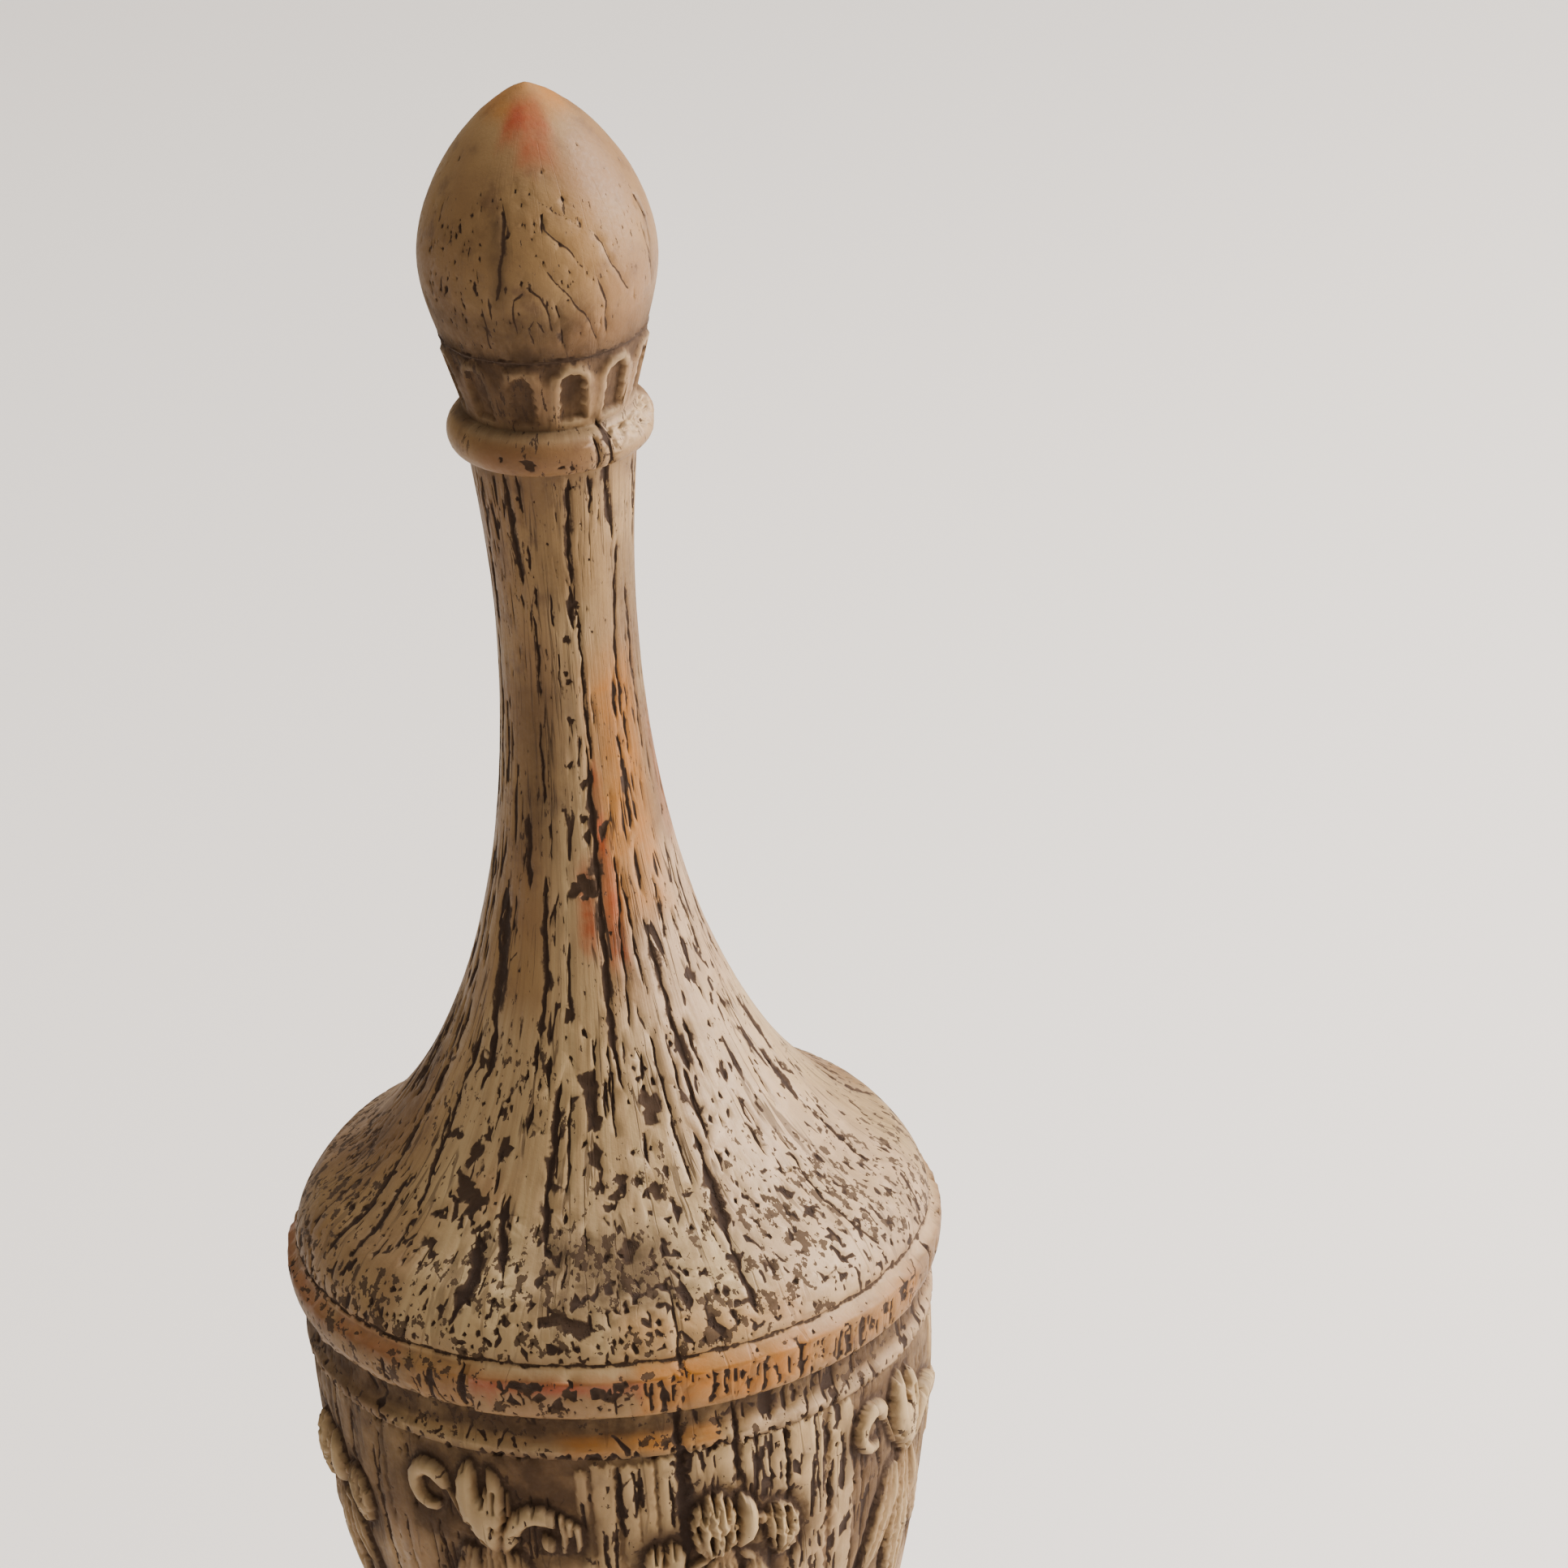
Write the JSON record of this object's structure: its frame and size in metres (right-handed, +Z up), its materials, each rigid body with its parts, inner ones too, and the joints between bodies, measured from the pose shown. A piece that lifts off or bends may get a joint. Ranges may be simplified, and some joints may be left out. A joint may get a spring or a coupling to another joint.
{
  "type": "ornamental urn",
  "caption": "Tall covered urn with a flared bottle neck, a ring, an egg-shaped tip and a carved belly on a round foot, cast in one piece to look like split old wood.",
  "frame": {"origin": "centre of the flat underside of the foot", "axes": "+Z up along the turned axis, -Y the front that the picture shows"},
  "size_m": [0.1488, 0.15, 0.5635],
  "materials": {
    "painted_cast_resin": "cast resin painted as pale weathered wood, dark stain in its cracks, a little rust orange, satin"
  },
  "bodies": {
    "root": {"urn_casting": "painted_cast_resin"}
  },
  "joints": []
}
